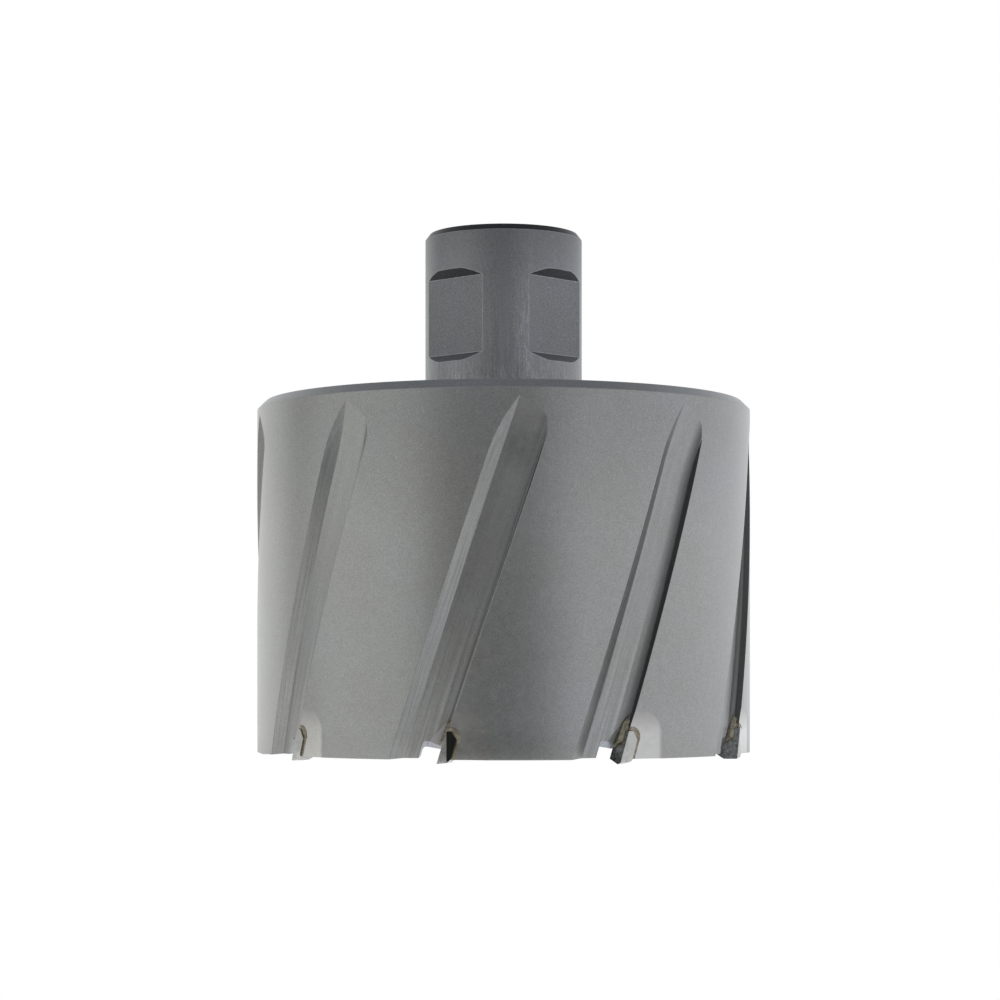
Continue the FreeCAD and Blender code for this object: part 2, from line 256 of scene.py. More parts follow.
def welded(name, meshes, gap, scale=1.0, drop=None):
    """One closed mesh from several, with points nearer than the gap merged and faces turned outwards."""
    shell = bmesh.new()
    for mesh in meshes:
        shell.from_mesh(mesh)
        bpy.data.meshes.remove(mesh)
    if drop is not None:
        dropped = [face for face in shell.faces if face.material_index == drop]
        bmesh.ops.delete(shell, geom=dropped, context="FACES")
    bmesh.ops.remove_doubles(shell, verts=shell.verts, dist=gap)
    bmesh.ops.dissolve_degenerate(shell, edges=shell.edges, dist=gap / 10)
    bmesh.ops.recalc_face_normals(shell, faces=shell.faces)
    bmesh.ops.scale(shell, vec=(scale,) * 3, verts=shell.verts)
    return from_shell(name, shell)


def from_shell(name, shell):
    """A mesh from a bmesh, which is freed."""
    mesh = bpy.data.meshes.new(name)
    shell.to_mesh(mesh)
    shell.free()
    return mesh


def give_materials(mesh, materials):
    """The materials as the mesh's slots, with each face keeping the number of its slot."""
    numbers = np.empty(len(mesh.polygons), dtype=np.int32)
    mesh.polygons.foreach_get("material_index", numbers)
    mesh.materials.clear()
    for material in materials:
        mesh.materials.append(material)
    mesh.polygons.foreach_set("material_index", numbers)


def vectors_of(elements, name="co"):
    """One vector property of a mesh's elements, as an array with a row for each."""
    values = np.empty(len(elements) * 3)
    elements.foreach_get(name, values)
    return values.reshape(-1, 3)


def linked(name, data):
    """A new object in the scene."""
    thing = bpy.data.objects.new(name, data)
    bpy.context.scene.collection.objects.link(thing)
    return thing


def evaluated(thing):
    """The object's mesh with its modifiers applied."""
    bpy.context.view_layer.update()
    return bpy.data.meshes.new_from_object(thing.evaluated_get(bpy.context.evaluated_depsgraph_get()))


def show(name, mesh, materials, node):
    """The mesh as a piece that rides the cutter and stands for its CAD node."""
    give_materials(mesh, materials)
    piece = linked(name, mesh)
    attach(piece, "root")
    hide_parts(node)
    return piece


def smooth(mesh, angle):
    """Smooth shading that breaks where two faces meet at more than the angle."""
    mesh.shade_smooth()
    mesh.set_sharp_from_angle(angle=math.radians(angle))


def bisected(residual, low, high, steps=50):
    """Where a rising function crosses zero between low and high, halving the interval each step."""
    for _ in range(steps):
        middle = (low + high) / 2
        above = residual(middle) > 0
        low = np.where(above, low, middle)
        high = np.where(above, middle, high)
    return (low + high) / 2


class FluteForm:
    """The helical flute: its section, its helix and the arc in which it runs out."""

    def __init__(self, land_radius, depth, width, helix_angle):
        self.land_radius = land_radius
        self.floor_radius = land_radius - depth
        self.lean = math.radians(helix_angle)
        self.rate = math.degrees(math.tan(self.lean) / land_radius)
        half = width / 2
        rim = math.sqrt(land_radius ** 2 - (half / math.cos(self.lean)) ** 2) - self.floor_radius
        lead_run = 1 / slope(LEAD_WALL_ANGLE)
        wall_run = slope(RAKE_WALL_TILT)

        def top_of(side_at):
            """Depth at which a wall, carried on over the flute's rim, meets the land."""
            def over_land(depth):
                return self.section_radius(side_at(depth), depth) - land_radius

            return float(bisected(over_land, rim, rim + WALL_REACH))

        lead_top = top_of(lambda depth: -half + (rim - depth) * lead_run)
        wall_top = top_of(lambda depth: half + (depth - rim) * wall_run)
        ledge_end = half - (rim - LEDGE_HEIGHT) * wall_run
        ledge_start = ledge_end - LEDGE_WIDTH
        bend = math.acos(1 - LEDGE_HEIGHT / FOOT_RADIUS)
        bend_start = ledge_start - FOOT_RADIUS * math.sin(bend)
        floor_start = -half + rim * lead_run
        # Wall columns are spaced so that the arc of the run-out meets them at even steps.
        lead_depth = lead_top * (1 - np.linspace(0, 1, 10) ** 2)
        wall_depth = wall_top - (wall_top - LEDGE_HEIGHT) * (1 - np.linspace(0, 1, 9)[1:]) ** 2
        turn = np.linspace(0, bend, 6)
        # Columns of the sloping wall, the floor, the corner's foot, the ledge and the steep wall
        parts = (
            (LEAD_WALL, -half + (rim - lead_depth) * lead_run, lead_depth),
            (MILLED, np.linspace(floor_start, bend_start, 14)[1:-1], 0),
            (MILLED, bend_start + FOOT_RADIUS * np.sin(turn), FOOT_RADIUS * (1 - np.cos(turn))),
            (LEDGE, np.linspace(ledge_start, ledge_end, 3)[1:], LEDGE_HEIGHT),
            (RAKE_WALL, half + (wall_depth - rim) * wall_run, wall_depth),
        )
        finish, self.side, self.depth = (np.concatenate(row) for row in zip(
            *(np.broadcast_arrays(*part) for part in parts)))
        self.finish = finish[1:]
        # Where the foot and the ledge start, in metres
        self.foot = (bend_start * METRE, ledge_start * METRE)
        # Angle from the flute's middle line at one height, for each column of the section
        self.offset = (np.degrees(np.arctan2(self.side * math.cos(self.lean), self.floor_radius + self.depth))
                       + self.rate * self.side * math.sin(self.lean))
        self.radius = self.section_radius(self.side, self.depth)
        self.radius[[0, -1]] = land_radius

    def section_radius(self, side, depth):
        return np.hypot(self.floor_radius + depth, side * math.cos(self.lean))

    def angle(self, height):
        return FLUTE_ANGLE + self.rate * height

    def run_out(self, shares):
        """The run-out: each column of the section follows the rim of a disc, as far as the land."""
        arm_length = DISC_RADIUS - self.depth

        def spot(turn):
            out = self.floor_radius + DISC_RADIUS - arm_length * np.cos(turn)
            aside = arm_length * np.sin(turn) * math.sin(self.lean) + self.side * math.cos(self.lean)
            rise = arm_length * np.sin(turn) * math.cos(self.lean) - self.side * math.sin(self.lean)
            return out, aside, RUN_OUT_Z + rise

        def over_land(turn):
            out, aside, _ = spot(turn)
            return np.hypot(out, aside) - self.land_radius

        longest = bisected(over_land, 0, LONGEST_ARC)
        longest[[0, -1]] = 0
        out, aside, height = spot(shares[:, None] * longest[None, :])
        radius = np.hypot(out, aside)
        radius[:, [0, -1]] = self.land_radius
        radius[-1] = self.land_radius
        angle = self.angle(RUN_OUT_Z) + np.degrees(np.arctan2(aside, out))
        return radius, angle, height


def flute_form(sizes):
    return FluteForm(sizes.land_diameter / METRE / 2, sizes.flute_depth / METRE, sizes.flute_width / METRE,
                     math.degrees(sizes.helix_angle))


def land_angles(left_rim, right_rim, land_shares):
    """Angles of the land's columns, which spread from the flute's rims to the sector's flat sides."""
    return left_rim * (1 - land_shares[::-1])[:-1], right_rim + (PITCH - right_rim) * land_shares[1:]


def sector_columns(flute, land_shares):
    """Columns of one sector at the block's top: land, flute and land, as angle, radius and finish."""
    middle = flute.angle(BLOCK_TOP)
    left, right = land_angles(middle + flute.offset[0], middle + flute.offset[-1], land_shares)
    first, last = len(left), len(right)
    angle = np.concatenate((left, middle + flute.offset, right))
    radius = np.pad(flute.radius, (first, last), constant_values=flute.land_radius)
    finish = np.pad(flute.finish, (first, last), constant_values=LAND)
    return angle, radius, finish, slice(first, first + len(flute.offset))


def lower_block(flute, columns, land_shares):
    """The cutting ring's part of one sector as a closed block, without the cuts for the tooth."""
    angle, radius, finish, span = columns
    shares = np.linspace(0, 1, 17)[:, None]
    land = flute.land_radius
    cone = BOTTOM_Z + (land - radius) * CONE_RISE / (land - CAVITY_RADIUS - MOUTH_CHAMFER)
    height = cone + (BLOCK_TOP - cone) * shares
    # The flute's columns follow the helix.
    follow = (angle - flute.rate * (BLOCK_TOP - height))[:, span]
    left, right = land_angles(follow[:, :1], follow[:, -1:], land_shares)
    turn = np.concatenate((left, follow, right), axis=1)
    outer = place(radius, turn, height)
    mouth_radius = CAVITY_RADIUS + MOUTH_CHAMFER
    mouth_z = BOTTOM_Z + CONE_RISE
    to_mouth = np.linspace(0, 1, 4)[:, None]
    bottom = place(radius + (mouth_radius - radius) * to_mouth, turn[0], cone + (mouth_z - cone) * to_mouth)
    bend_z = mouth_z + MOUTH_CHAMFER
    chamfer = place(np.array([[mouth_radius], [CAVITY_RADIUS]]), turn[0], np.array([[mouth_z], [bend_z]]))
    inner_turn = turn[0] + (turn[-1] - turn[0]) * shares
    inner = place(CAVITY_RADIUS, inner_turn, bend_z + (BLOCK_TOP - bend_z) * shares)
    lid = np.stack((outer[-1], inner[-1]))
    patches = [(outer, finish), (bottom, TURNED), (chamfer, TURNED), (inner, TURNED), (lid, CAP)]
    vertices, faces, finishes = grid_arrays(patches)
    # Flat sides, each one face round the wall's outline
    for column in (0, -1):
        side = np.concatenate((outer[::-1, column], bottom[1:, column], inner[:, column]))
        faces.append(list(range(len(vertices), len(vertices) + len(side))))
        vertices = np.concatenate((vertices, side))
    return welded("block", [mesh_of("block", vertices, faces, np.append(finishes, [CAP, CAP]))], GRID_GAP)


def prism(name, outline, step, finish, angle=TIP_ANGLE):
    """A closed prism: an outline of points carried along a step, both turned about the axis."""
    outline, step = turned(outline, angle), turned(step, angle)
    vertices = np.concatenate((outline, outline + step))
    lower = np.arange(len(outline))
    upper = lower + len(outline)
    sides = np.stack((lower, np.roll(lower, -1), np.roll(upper, -1), upper), axis=-1).tolist()
    faces = sides + [lower.tolist(), upper.tolist()]
    return welded(name, [mesh_of(name, vertices, faces, [finish] * len(faces))], PRISM_GAP)


def gullet_cutter():
    """Slot ahead of the tip with a sloping roof, and a fillet between its roof and left wall."""
    lean, twist = slope(TIP_LEAN), slope(TIP_TWIST)
    rake = -(TIP_RADIUS - FLOOR_RADIUS) * twist
    left, right = rake - GULLET_WIDTH, rake + TIP_THICKNESS / 2
    low = -2 * CUT_PAST

    def roof(start):
        height = (GULLET_ROOF_Z - slope(GULLET_FALL) * (start - left)) / (1 + slope(GULLET_FALL) * lean)
        return np.array((start + height * lean, height))

    corner = roof(left)
    down = np.array((-lean, -1.0)) / math.hypot(lean, 1)
    over = roof(right) - corner
    over = over / np.linalg.norm(over)
    half_turn = math.acos(float(down @ over)) / 2
    reach = GULLET_FILLET / math.tan(half_turn)
    middle = down + over
    centre = corner + middle / np.linalg.norm(middle) * GULLET_FILLET / math.sin(half_turn)
    ends = [corner + down * reach - centre, corner + over * reach - centre]
    start, end = (math.degrees(math.atan2(arm[1], arm[0])) for arm in ends)
    fillet = arc_points(centre, GULLET_FILLET, start, end, 9)
    foot = [(side + low * lean, low) for side in (left, right)]
    outline = np.concatenate((foot, [roof(right)], fillet[::-1]))
    step = tooth(twist + lean * slope(GULLET_SLOPE), 1, slope(GULLET_SLOPE))
    points = tooth(outline[:, 0], FLOOR_RADIUS, outline[:, 1]) + step * CUT_PAST
    return prism("gullet", points, -step * (FLOOR_RADIUS - TIP_INNER_RADIUS + 2 * CUT_PAST), ROOF)


def seat_cutter():
    """Seat milled for the tip: straight sides under a round top, square to the rake."""
    lean, back = slope(TIP_LEAN), slope(SEAT_LEAN)
    middle = TIP_TOP_Z * lean + TIP_TOP_WIDTH / 2 + SEAT_SHIFT
    centre = np.array((middle, TIP_TOP_Z + SEAT_COVER - SEAT_RADIUS))
    # The front wall stands a gap ahead of the rake face, and meets the round top there.
    aside = centre - np.array((centre[1] * lean - SEAT_FRONT_GAP, centre[1]))
    distance = aside[0] * math.cos(math.radians(TIP_LEAN))
    front_turn = 180 - TIP_LEAN - math.degrees(math.acos(min(distance / SEAT_RADIUS, 1)))
    crown = arc_points(centre, SEAT_RADIUS, front_turn, -SEAT_LEAN, 22)
    low = -CUT_PAST
    side, top = crown[-1]
    outline = np.concatenate((crown, [(side - (top - low) * back, low), (low * lean - SEAT_FRONT_GAP, low)]))
    points = tooth(outline[:, 0], TIP_RADIUS + CUT_PAST, outline[:, 1])
    corner = tooth(0, TIP_RADIUS, 0)
    points = turned(points - corner, TIP_TWIST) + corner
    step = turned(tooth(0, -(TIP_RADIUS - TIP_INNER_RADIUS + 2 * CUT_PAST), 0), TIP_TWIST)
    return prism("seat", points, step, SEAT)


def facet_cutter():
    """Wedge between the flute's floor and the gullet's roof, kept ahead of the rake plane."""
    lean, twist = slope(TIP_LEAN), slope(TIP_TWIST)
    rake = -(TIP_RADIUS - FLOOR_RADIUS) * twist
    low, high = (tooth(rake + rise * lean - ahead, FLOOR_RADIUS, rise) for rise, ahead in FACET_ENDS)
    outward = tooth(0, 1, 0)
    line = (high - low) / np.linalg.norm(high - low)
    aside = np.cross(line, outward)
    aside = aside / np.linalg.norm(aside)
    tilt = math.radians(FACET_TILT)
    downhill = aside * math.cos(tilt) - outward * math.sin(tilt)
    reach = 2 * CUT_PAST
    start, end = low - line * reach, high + line * reach
    slab = np.stack((start, end, end + downhill * reach, start + downhill * reach))
    rake_low = tooth(rake - reach * lean, FLOOR_RADIUS, -reach)
    rake_high = rake_low + tooth(lean, 0, 1) * (FACET_ENDS[1][0] + 2 * reach)
    ahead = tooth(-2 * reach, 0, 0)
    step = tooth(twist, 1, 0)
    guard = np.stack((rake_low, rake_high, rake_high + ahead, rake_low + ahead)) - step * reach
    guard_mesh = prism("guard", guard, step * 2 * reach, FACET)
    return cut(prism("facet", slab, outward * reach, FACET), [guard_mesh], "INTERSECT")


def relief_cutter():
    """Rim of the grinding wheel: straight, then an arc in the plane of radius and height, carried
    along the rim."""
    wheel_radius = (RELIEF_TOP - RELIEF_BEND) ** 2 / (2 * RELIEF_DEPTH)
    height = np.concatenate(([-RELIEF_PAST], np.linspace(RELIEF_BEND, BLOCK_TOP, 16)))
    rise = np.maximum(height - RELIEF_BEND, 0)
    rim = TIP_RADIUS - TIP_PROUD - RELIEF_DEPTH + wheel_radius - np.sqrt(wheel_radius ** 2 - rise ** 2)
    radius = np.concatenate((rim, [TIP_RADIUS + RELIEF_PAST] * 2))
    height = np.concatenate((height, [BLOCK_TOP, -RELIEF_PAST]))
    outline, step = tooth(-RELIEF_REACH, radius, height), tooth(2 * RELIEF_REACH, 0, 0)
    return prism("relief", outline, step, GROUND, TIP_ANGLE + RELIEF_TURN)


def cut(mesh, cutters, operation="DIFFERENCE"):
    """The mesh after exact cuts with closed cutters, each face keeping its finish."""
    slots = [bpy.data.materials.new(f"slot {number}") for number in range(CAP + 1)]
    parts = [mesh] + cutters
    for part in parts:
        give_materials(part, slots)
    things = [linked(part.name, part) for part in parts]
    for cutter in things[1:]:
        modifier = things[0].modifiers.new(cutter.name, "BOOLEAN")
        modifier.operation = operation
        modifier.solver = "EXACT"
        modifier.object = cutter
    result = evaluated(things[0])
    for thing, part in zip(things, parts):
        bpy.data.objects.remove(thing)
        bpy.data.meshes.remove(part)
    for material in slots:
        bpy.data.materials.remove(material)
    return result


def upper_patches(flute, columns, sizes):
    """The rest of one sector: outer wall, run-out, shoulder, bore, roof and cavity, as grids."""
    angle, radius, finish, span = columns
    land = flute.land_radius
    shoulder_z = sizes.shoulder_height / METRE
    land_top = shoulder_z - SHOULDER_CHAMFER
    bore = sizes.bore_diameter / METRE / 2
    seat_radius = sizes.shank_diameter / METRE / 2 + SHANK_MARGIN
    shares = np.linspace(0, 1, 31)[:, None]
    # Height at which each column ends its helix, with the land's columns in between
    end = np.full(len(angle), RUN_OUT_Z)
    end[span] = RUN_OUT_Z - flute.side * math.sin(flute.lean)
    end[:span.start] = np.linspace(RUN_OUT_Z, end[span.start], span.start + 1)[:-1]
    end[span.stop:] = np.linspace(end[span.stop - 1], RUN_OUT_Z, len(angle) - span.stop + 1)[1:]
    height = BLOCK_TOP + (end - BLOCK_TOP) * shares
    wall = place(radius, angle + flute.rate * (height - BLOCK_TOP), height)
    steps = np.concatenate((np.linspace(0, 0.95, 17), [1.0]))
    out_radius, out_angle, out_height = flute.run_out(steps)
    run = place(out_radius, out_angle, out_height)
    # Above the run-out everything lies on the land.
    start_height, start_angle = end.copy(), angle + flute.rate * (end - BLOCK_TOP)
    start_height[span], start_angle[span] = out_height[-1], out_angle[-1]
    rise = np.concatenate(([0, 0.03], np.linspace(0, 1, 10)[1:]))[:, None]
    top_angle = angle + flute.rate * (land_top - BLOCK_TOP)
    above_angle = start_angle + (top_angle - start_angle) * rise
    above = place(land, above_angle, start_height + (land_top - start_height) * rise)

    deck_rim, seat_z = land - SHOULDER_CHAMFER, shoulder_z - SHANK_SEAT
    shoulder = ring(top_angle, (land, land_top), (deck_rim, shoulder_z))
    deck = ring(top_angle, *((rim, shoulder_z) for rim in (deck_rim, *DECK_RADII, seat_radius)))
    seat = ring(top_angle, (seat_radius, shoulder_z), (seat_radius, seat_z), (bore, seat_z))
    hole = ring(top_angle, (bore, seat_z), (bore, ROOF_Z + BORE_CHAMFER), (bore + BORE_CHAMFER, ROOF_Z))
    # The flat roof takes up the helix's turn between its inner and outer edge.
    roof_rim, hole_rim = CAVITY_RADIUS - ROOF_CHAMFER, bore + BORE_CHAMFER
    to_rim = np.linspace(0, 1, 9)[:, None]
    roof_radius = hole_rim + (roof_rim - hole_rim) * to_rim
    roof = place(roof_radius, top_angle + (angle - top_angle) * to_rim, ROOF_Z)
    inner_heights = (ROOF_Z - ROOF_CHAMFER, CAVITY_MIDDLE, BLOCK_TOP)
    cavity = ring(angle, (roof_rim, ROOF_Z), *((CAVITY_RADIUS, level) for level in inner_heights))
    inside = [(patch, TURNED) for patch in (deck, seat, hole, roof, cavity)]
    return [(wall, finish), (run, flute.finish), (above, LAND), (shoulder, LAND)] + inside


def drive_shank_patches(sizes):
    """The shank: radius min(R, D(z) / cos(angle - flat)), as columns that follow the flats' edges."""
    full = sizes.shank_diameter / METRE / 2
    shoulder_z = sizes.shoulder_height / METRE
    bore = sizes.bore_diameter / METRE / 2
    face = full - sizes.flat_depth / METRE
    top_z = shoulder_z + sizes.shank_length / METRE
    # Rows up from the flats' middle, and the distance of the flat or ramp from the axis in each
    ramp = np.linspace(0, FLAT_RAMP, 9)
    ledge = FLAT_HALF + FLAT_RAMP
    above = np.concatenate(([ledge], np.linspace(ledge, FLAT_MIDDLE - END_ROW, 5)[1:], [FLAT_MIDDLE]))
    rows = np.concatenate((np.linspace(0, FLAT_HALF, 10)[:-1], FLAT_HALF + ramp, above))
    reach = np.concatenate((np.full(9, face), face + ramp, np.full(len(above), np.inf)))
    height = shoulder_z + FLAT_MIDDLE + np.concatenate((-rows[::-1], rows[1:]))
    height[-1] = top_z - SHANK_CHAMFER_RISE
    reach = np.concatenate((reach[::-1], reach[1:]))
    cosine = np.where(np.isinf(reach), face + FLAT_RAMP, reach) / full
    half_angle = np.degrees(np.arccos(np.minimum(cosine, 1)))[:, None]
    share = np.sin(np.linspace(-0.5, 0.5, FLAT_COLUMNS) * math.pi)
    left, right = (middle + half_angle * share for middle in FLAT_ANGLES)
    seam = left[:, :1] + 360
    between = left[:, -1:] + (right[:, :1] - left[:, -1:]) * np.linspace(0, 1, BETWEEN_COLUMNS)[1:-1]
    rest = right[:, -1:] + (seam - right[:, -1:]) * np.linspace(0, 1, REST_COLUMNS)[1:-1]
    angle = np.concatenate((left, between, right, rest, seam), axis=1)
    # Angle from the middle of the flat that a column crosses; columns off the flats have none.
    away = np.full(angle.shape, np.nan)
    second = FLAT_COLUMNS + between.shape[1]
    away[:, :FLAT_COLUMNS] = left - FLAT_ANGLES[0]
    away[:, second:second + FLAT_COLUMNS] = right - FLAT_ANGLES[1]
    radius = np.fmin(reach[:, None] / np.cos(np.radians(away)), full)
    wall = place(radius, angle, height[:, None])
    on_flat = np.isfinite(away) & np.isfinite(reach)[:, None]
    flats = np.where(on_flat[:-1, :-1] & on_flat[:-1, 1:] & on_flat[1:, :-1], SHANK_FLAT, SHANK_WALL)

    foot_radius, foot_z = full + SHANK_MARGIN, shoulder_z - SHANK_SEAT
    top_rim, hole_rim = full - SHANK_CHAMFER, bore + BORE_CHAMFER
    foot_profile = (bore, foot_z), (foot_radius, foot_z), (foot_radius, shoulder_z), (full, shoulder_z)
    foot = ring(angle[0], *foot_profile, (full, height[0]))
    chamfer = ring(angle[-1], (full, height[-1]), (top_rim, top_z))
    end = ring(angle[-1], (top_rim, top_z), (hole_rim, top_z))
    mouth = ring(angle[-1], (hole_rim, top_z), (bore, top_z - BORE_CHAMFER))
    hole = np.stack((place(bore, angle[-1], top_z - BORE_CHAMFER), place(bore, angle[0], foot_z)))
    plain = [(patch, SHANK_PLAIN) for patch in (end, mouth, hole)]
    return [(foot, SHANK_PLAIN), (wall, flats), (chamfer, SHANK_END)] + plain


def merged_copy(node):
    """A merged copy of a CAD node's mesh, in bmesh, with flat faces joined."""
    shell = bmesh.new()
    shell.from_mesh(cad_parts[node].data)
    bmesh.ops.remove_doubles(shell, verts=shell.verts, dist=NODE_GAP)
    limit = math.radians(JOIN_ANGLE)
    bmesh.ops.dissolve_limit(shell, angle_limit=limit, verts=shell.verts, edges=shell.edges)
    return shell


def remeshed(mesh, step):
    """The mesh made again from even quads of the given size, and smoothed so that its edges are round."""
    thing = linked("soft", mesh)
    voxels = thing.modifiers.new("voxels", "REMESH")
    voxels.mode = "VOXEL"
    voxels.voxel_size = step
    rounding = thing.modifiers.new("rounding", "SMOOTH")
    rounding.factor = 0.5
    rounding.iterations = 4
    result = evaluated(thing)
    bpy.data.objects.remove(thing)
    bpy.data.meshes.remove(mesh)
    return result


def nodes_for(name):
    """A new material, its node tree and its shader."""
    material = bpy.data.materials.new(name)
    material.use_nodes = True
    return material, material.node_tree, material.node_tree.nodes["Principled BSDF"]


def join(node, inputs):
    """Gives inputs of a node a plain value each, or another node's output. A colour has three numbers."""
    for key, value in inputs.items():
        socket, value = node.inputs[key], getattr(value, "socket", value)
        if isinstance(value, bpy.types.NodeSocket):
            node.id_data.links.new(value, socket)
        else:
            socket.default_value = (*value, 1) if socket.type == "RGBA" else value


class Value:
    """One output of a new node. Its methods and arithmetic add further nodes to the tree."""

    def __init__(self, tree, kind, output, inputs=None, **settings):
        node = tree.nodes.new(kind)
        for key, value in settings.items():
            setattr(node, key, value)
        join(node, inputs or {})
        self.tree, self.socket = tree, node.outputs[output]

    def maths(self, operation, other):
        return Value(self.tree, "ShaderNodeMath", "Value", {0: self, 1: other}, operation=operation)

    def __add__(self, other):
        return self.maths("ADD", other)

    def __mul__(self, other):
        return self.maths("MULTIPLY", other)

    def maximum(self, other):
        return self.maths("MAXIMUM", other)

    def minimum(self, other):
        return self.maths("MINIMUM", other)

    def vectors(self, operation, output, other=(0, 0, 0)):
        return Value(self.tree, "ShaderNodeVectorMath", output, {0: self, 1: other}, operation=operation)

    def axis(self, name):
        """One number of this vector."""
        return Value(self.tree, "ShaderNodeSeparateXYZ", name, {"Vector": self})

    def stretch(self, scale, turn=0.0):
        """This vector turned about its third axis and scaled by a different number along each axis."""
        turned_way = Value(self.tree, "ShaderNodeVectorRotate", "Vector", {"Vector": self, "Angle": turn})
        return Value(self.tree, "ShaderNodeMapping", "Vector", {"Vector": turned_way, "Scale": scale})

    def noise(self, scale, detail=3.0, rough=0.55):
        form = {"Scale": scale, "Detail": detail, "Roughness": rough}
        return Value(self.tree, "ShaderNodeTexNoise", "Fac", {"Vector": self, **form})

    def spread(self, low, high, to_low=0.0, to_high=1.0):
        """This number taken from one range to another, and held at its ends."""
        ends = {"From Min": low, "From Max": high, "To Min": to_low, "To Max": to_high}
        return Value(self.tree, "ShaderNodeMapRange", "Result", {"Value": self, **ends})

    def swing(self, amount):
        """A factor that swings round 1 by the amount over the middle range of this noise."""
        return self.spread(0.3, 0.7, 1 - amount, 1 + amount)

    def brighten(self, colour):
        """The colour times this number."""
        inputs = {0: colour, "Scale": self}
        return Value(self.tree, "ShaderNodeVectorMath", "Vector", inputs, operation="SCALE")

    def between(self, first, second):
        """The number first, changed towards second by this share."""
        return Value(self.tree, "ShaderNodeMix", 0, {0: self, 2: first, 3: second}, data_type="FLOAT")

    def blend(self, first, second):
        """The colour first, changed towards second by this share."""
        return Value(self.tree, "ShaderNodeMix", 2, {0: self, 6: first, 7: second}, data_type="RGBA")


def scaled(colour, factor):
    """A plain colour times one factor, or times a factor for each of its three numbers."""
    return tuple(np.multiply(tuple(colour), factor).tolist())


def rounded_normal(tree, radius):
    """The normal as it would be if every edge were rounded to the radius."""
    return Value(tree, "ShaderNodeBevel", "Normal", {"Radius": radius}, samples=6)


def edge_mask(rounded, dull, sharp):
    """How far rounding turns the surface: 0 on faces and 1 on edges as sharp as asked for."""
    surface = Value(rounded.tree, "ShaderNodeNewGeometry", "Normal")
    return rounded.vectors("DOT_PRODUCT", "Value", surface).spread(dull, sharp)


def metal(shader, colour, roughness, bump, metallic=1.0):
    """Joins a metal's colour, its roughness and the inputs of its bump to the shader."""
    normal = Value(colour.tree, "ShaderNodeBump", "Normal", bump)
    join(shader, {"Base Color": colour, "Roughness": roughness, "Metallic": metallic, "Normal": normal})


def steel(name, finish, colour, rough, grain=0.1, streak=None, streak_depth=0.0, turn=0.0, fade=None,
          top_shade=None, worn_and_highlit=None, second=None, stain=False, path=True, specks=0.0):
    """Steel in one finish: mottled colour, grain, streaks along the tool's path, and edges brightened as wear
    and painted highlight.

    Streak holds how many lines lie in a metre along each axis, and fade the two heights between which
    they weaken. Top shade holds two heights and the brightness from the second one up: painted shade,
    darker towards the top. Worn and highlit holds the edge mask's two limits and its strength: edges are
    brightened towards the edge colour, partly as wear and partly as a painted highlight. Second holds a
    mask, and the brightness and roughness under it.
    """
    material, tree, shader = nodes_for(name)
    where = Value(tree, "ShaderNodeTexCoord", "Object")
    way = Value(tree, "ShaderNodeAttribute", "Vector", attribute_name="path") if path else where
    mottle = where.noise(MOTTLE_SHARE / finish.grain_size, 4.0, 0.6)
    cloud = where.noise(CLOUD_SCALE)
    fine = where.noise(1 / finish.grain_size, 2.0, 0.7)
    tone = mottle.swing(0.04) * cloud.swing(0.03) * fine.swing(grain)
    roughness = mottle.spread(0.3, 0.7, rough - ROUGH_SWING, rough + ROUGH_SWING)
    height, rise = fine, where.axis("Z")
    # Painted shade: darker towards the top, from the first height to the second.
    if top_shade is not None:
        tone = tone * rise.spread(top_shade[0], top_shade[1], 1.0, top_shade[2])
    if streak is not None:
        lines = way.stretch(streak, turn).noise(1.0, 3.0, 0.65)
        if fade is not None:
            lines = rise.spread(*fade, 0.0, 0.8).between(lines, 0.5)
        tone = tone * lines.swing(streak_depth)
        height = height + lines * (STREAK_RISE * streak_depth)
    if second is not None:
        mask, factor, second_rough = second
        share = mask(where, way)
        tone = tone * share.spread(0.0, 1.0, 1.0, factor)
        roughness = roughness + share.spread(0.0, 1.0, 0.0, second_rough - rough)
    clouds = cloud.spread(0.35, 0.65)
    shade = tone.brighten(clouds.blend(scaled(colour, WARM), scaled(colour, COOL)))
    if stain:
        soot = Value(tree, "ShaderNodeAttribute", "Fac", attribute_name="stain")
        shade = (soot * mottle.spread(0.35, 0.6, 0.4, 0.8)).blend(shade, finish.stain_colour)
    if specks > 0:
        spots = where.noise(SPECK_SCALE, 1.0, 0.5).spread(0.66, 0.74, 0.0, specks)
        shade = spots.blend(shade, finish.edge_colour)
    bump = {"Height": height, "Strength": 0.35, "Distance": GRAIN_RISE * grain}
    # Edges brightened towards the edge colour: partly wear, partly a painted highlight.
    if worn_and_highlit is not None:
        dull, sharp, strength = worn_and_highlit
        bump["Normal"] = rounded_normal(tree, finish.edge_width)
        bright = edge_mask(bump["Normal"], dull, sharp) * mottle.spread(0.3, 0.6, 0.5, 1.0) * strength
        shade = bright.blend(shade, finish.edge_colour)
    metal(shader, shade, roughness, bump)
    return material


